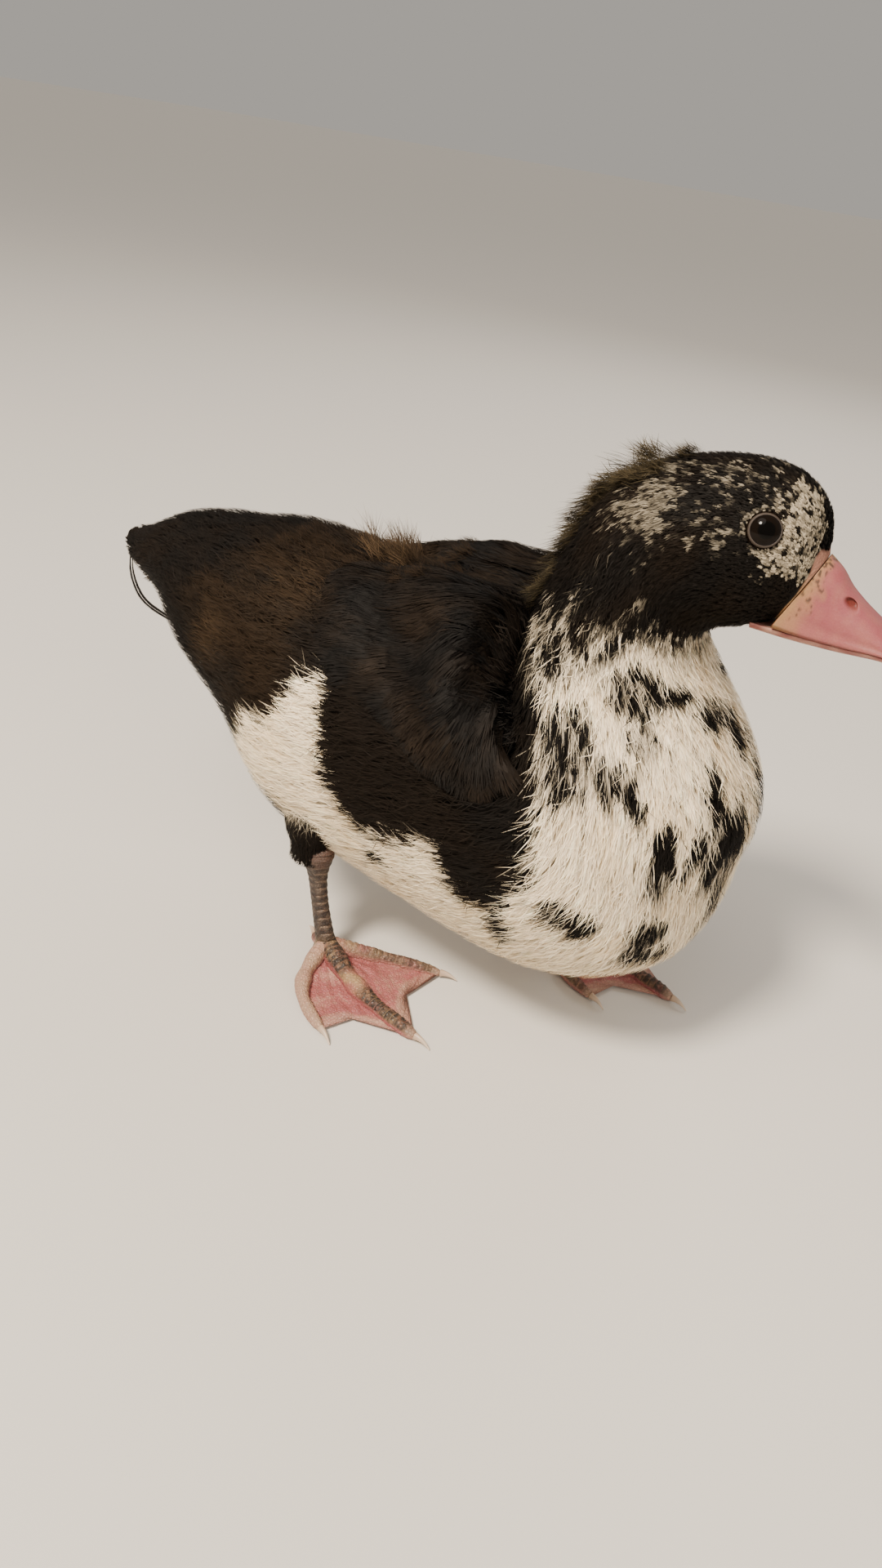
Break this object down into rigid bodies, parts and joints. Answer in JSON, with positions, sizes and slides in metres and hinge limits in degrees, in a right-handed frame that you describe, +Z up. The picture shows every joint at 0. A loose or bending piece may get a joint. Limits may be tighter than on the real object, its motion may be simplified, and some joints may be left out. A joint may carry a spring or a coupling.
{
  "type": "young muscovy duck figure",
  "caption": "Life-size still figure of a young muscovy duck standing in mid-step, with a short drawn-in neck, pink bill, small wings, a down-fringed tail and webbed feet.",
  "frame": {"origin": "on the floor, under the middle of the figure's outline", "axes": "+X along the trunk towards the breast and bill, +Y to the bird's left, +Z up"},
  "size_m": [0.3234, 0.1454, 0.2191],
  "materials": {
    "breast_feathers": "soft white feathers with black marks",
    "neck_feathers": "soft black feathers with white flecks",
    "dark_feathers": "soft black and dark brown feathers and down",
    "bill_skin": "smooth pink bill skin",
    "eye_gloss": "wet, dark eye",
    "leg_scales": "dark plated leg skin",
    "foot_skin": "pink web skin with dark toes",
    "claw_horn": "pale horn"
  },
  "bodies": {
    "root": {"torso": "breast_feathers", "neck": "neck_feathers", "head": "neck_feathers", "bill_upper": "bill_skin", "bill_lower": "bill_skin", "tail": "dark_feathers", "eye_right": "eye_gloss", "wing_right": "dark_feathers", "thigh_right": "dark_feathers", "shank_right": "leg_scales", "foot_right": "foot_skin", "claw_inner_right": "claw_horn", "claw_middle_right": "claw_horn", "claw_outer_right": "claw_horn", "claw_hind_right": "claw_horn", "eye_left": "eye_gloss", "wing_left": "dark_feathers", "thigh_left": "dark_feathers", "shank_left": "leg_scales", "foot_left": "foot_skin", "claw_inner_left": "claw_horn", "claw_middle_left": "claw_horn", "claw_outer_left": "claw_horn", "claw_hind_left": "claw_horn"}
  },
  "joints": []
}
